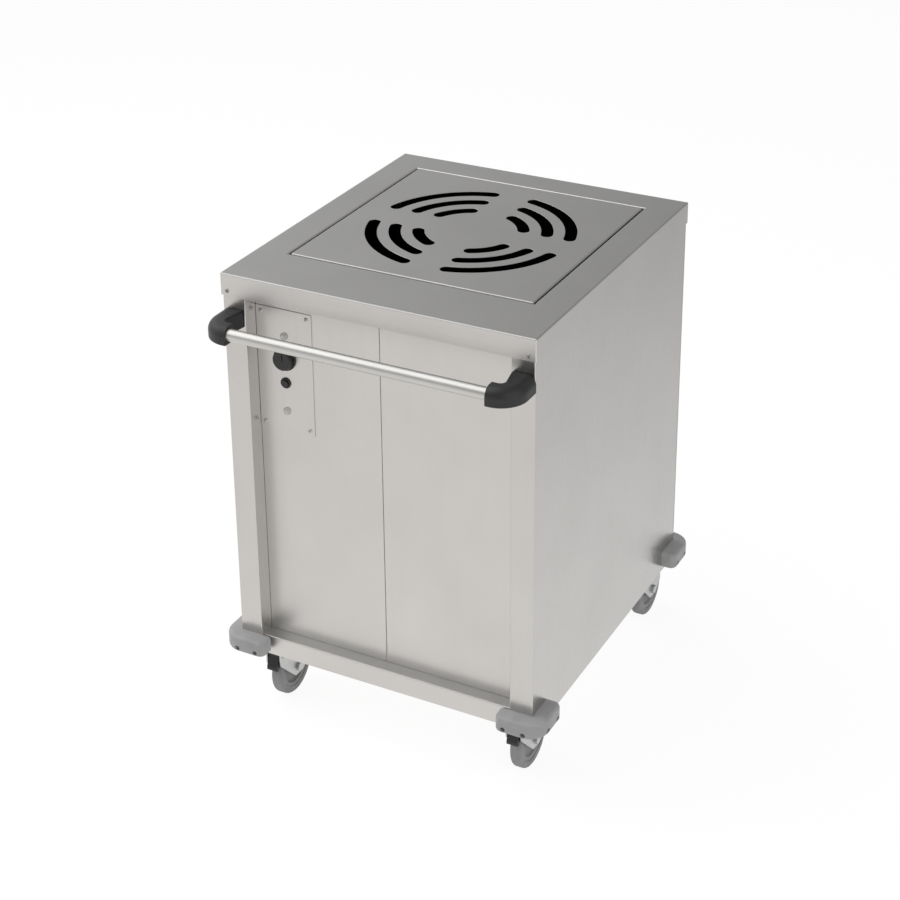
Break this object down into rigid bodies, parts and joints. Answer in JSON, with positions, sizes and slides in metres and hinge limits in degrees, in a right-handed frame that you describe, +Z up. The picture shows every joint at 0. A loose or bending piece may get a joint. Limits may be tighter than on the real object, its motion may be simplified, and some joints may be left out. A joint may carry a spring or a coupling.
{
  "type": "heated_basket_dispenser",
  "caption": "Heated dish basket dispenser on casters: stainless cabinet, spring-lifted slotted platform, push handle, corner bumpers",
  "frame": {"origin": "On the floor, under the middle of the bounding box", "axes": "+Z up, +X to the right seen from the push handle, -Y towards the push handle"},
  "size_m": [0.738, 0.8744, 1.01],
  "materials": {
    "brushed_steel": "fine brushed sheet",
    "polished_tube": "polished round bar",
    "zinc_plate": "bright zinc plating",
    "dark_screws": "plain dome heads",
    "heater_sheath": "heat-dulled",
    "black_plastic": "fine grain",
    "lamp_lens": "clear pale lens",
    "bush_plastic": "smooth",
    "grey_bumper": "satin moulding",
    "fork_zinc": "bright zinc pressing",
    "hub_plastic": "satin moulding",
    "tyre_rubber": "grey tread",
    "pedal_plastic": "fine grain"
  },
  "bodies": {
    "cabinet": {"top_deck": "brushed_steel", "left_side_panel": "brushed_steel", "right_side_panel": "brushed_steel", "base_tray": "brushed_steel", "front_panel_left": "brushed_steel", "front_panel_right": "brushed_steel", "control_plate": "brushed_steel", "rear_panel": "brushed_steel", "shaft_front_wall": "brushed_steel", "shaft_rear_wall": "brushed_steel", "shaft_left_wall": "brushed_steel", "shaft_right_wall": "brushed_steel", "shaft_floor": "brushed_steel", "heater_element": "heater_sheath", "guide_rods": "polished_tube", "left_spring_hanger": "zinc_plate", "right_spring_hanger": "zinc_plate", "lift_springs": "zinc_plate", "thermostat_body": "black_plastic", "switch_body": "black_plastic", "pilot_lamp_upper": "lamp_lens", "pilot_lamp_lower": "lamp_lens", "cable_gland": "black_plastic", "handle_bar": "polished_tube", "left_handle_bracket": "black_plastic", "right_handle_bracket": "black_plastic", "panel_screws": "dark_screws", "control_plate_screws": "dark_screws", "caster_plates": "zinc_plate", "caster_bolts": "zinc_plate", "handle_bolts": "zinc_plate", "front_left_bumper": "grey_bumper", "front_right_bumper": "grey_bumper", "rear_left_bumper": "grey_bumper", "rear_right_bumper": "grey_bumper"},
    "platform": {"platform_plate": "brushed_steel", "left_carriage": "zinc_plate", "right_carriage": "zinc_plate", "guide_bushes": "bush_plastic"},
    "thermostat_knob": {"thermostat_knob": "black_plastic"},
    "push_button": {"push_button": "black_plastic"},
    "front_left_swivel": {"front_left_fork": "fork_zinc", "front_left_axle": "zinc_plate"},
    "front_left_wheel": {"front_left_hub": "hub_plastic", "front_left_tyre": "tyre_rubber"},
    "front_left_pedal": {"front_left_brake_pedal": "pedal_plastic"},
    "front_right_swivel": {"front_right_fork": "fork_zinc", "front_right_axle": "zinc_plate"},
    "front_right_wheel": {"front_right_hub": "hub_plastic", "front_right_tyre": "tyre_rubber"},
    "front_right_pedal": {"front_right_brake_pedal": "pedal_plastic"},
    "rear_left_swivel": {"rear_left_fork": "fork_zinc", "rear_left_axle": "zinc_plate"},
    "rear_left_wheel": {"rear_left_hub": "hub_plastic", "rear_left_tyre": "tyre_rubber"},
    "rear_right_swivel": {"rear_right_fork": "fork_zinc", "rear_right_axle": "zinc_plate"},
    "rear_right_wheel": {"rear_right_hub": "hub_plastic", "rear_right_tyre": "tyre_rubber"}
  },
  "joints": [
    {"name": "platform_lift", "type": "slide", "parent": "cabinet", "child": "platform", "axis": [0, 0, 1], "range_m": [-0.48, 0], "stiffness_N_per_m": 2250, "springref_m": 0.08, "deforming": ["lift_springs"]},
    {"name": "thermostat_turn", "type": "hinge", "parent": "cabinet", "child": "thermostat_knob", "pos_m": [-0.2235, -0.31075, 0.832], "axis": [0, 1, 0], "range_deg": [0, 270]},
    {"name": "button_press", "type": "slide", "parent": "cabinet", "child": "push_button", "axis": [0, 1, 0], "range_m": [0, 0.003], "stiffness_N_per_m": 400, "springref_m": -0.002},
    {"name": "front_left_swivel_turn", "type": "hinge", "parent": "cabinet", "child": "front_left_swivel", "pos_m": [-0.282, -0.28725, 0.14], "axis": [0, 0, 1], "continuous": true},
    {"name": "front_left_wheel_spin", "type": "hinge", "parent": "front_left_swivel", "child": "front_left_wheel", "pos_m": [-0.282, -0.24925, 0.0625], "axis": [1, 0, 0], "continuous": true},
    {"name": "front_left_pedal_release", "type": "hinge", "parent": "front_left_swivel", "child": "front_left_pedal", "pos_m": [-0.282, -0.30825, 0.122], "axis": [-1, 0, 0], "range_deg": [0, 20]},
    {"name": "front_right_swivel_turn", "type": "hinge", "parent": "cabinet", "child": "front_right_swivel", "pos_m": [0.282, -0.28725, 0.14], "axis": [0, 0, 1], "continuous": true},
    {"name": "front_right_wheel_spin", "type": "hinge", "parent": "front_right_swivel", "child": "front_right_wheel", "pos_m": [0.282, -0.24925, 0.0625], "axis": [1, 0, 0], "continuous": true},
    {"name": "front_right_pedal_release", "type": "hinge", "parent": "front_right_swivel", "child": "front_right_pedal", "pos_m": [0.282, -0.30825, 0.122], "axis": [-1, 0, 0], "range_deg": [0, 20]},
    {"name": "rear_left_swivel_turn", "type": "hinge", "parent": "cabinet", "child": "rear_left_swivel", "pos_m": [-0.282, 0.33675, 0.14], "axis": [0, 0, 1], "continuous": true},
    {"name": "rear_left_wheel_spin", "type": "hinge", "parent": "rear_left_swivel", "child": "rear_left_wheel", "pos_m": [-0.282, 0.37475, 0.0625], "axis": [1, 0, 0], "continuous": true},
    {"name": "rear_right_swivel_turn", "type": "hinge", "parent": "cabinet", "child": "rear_right_swivel", "pos_m": [0.282, 0.33675, 0.14], "axis": [0, 0, 1], "continuous": true},
    {"name": "rear_right_wheel_spin", "type": "hinge", "parent": "rear_right_swivel", "child": "rear_right_wheel", "pos_m": [0.282, 0.37475, 0.0625], "axis": [1, 0, 0], "continuous": true}
  ]
}
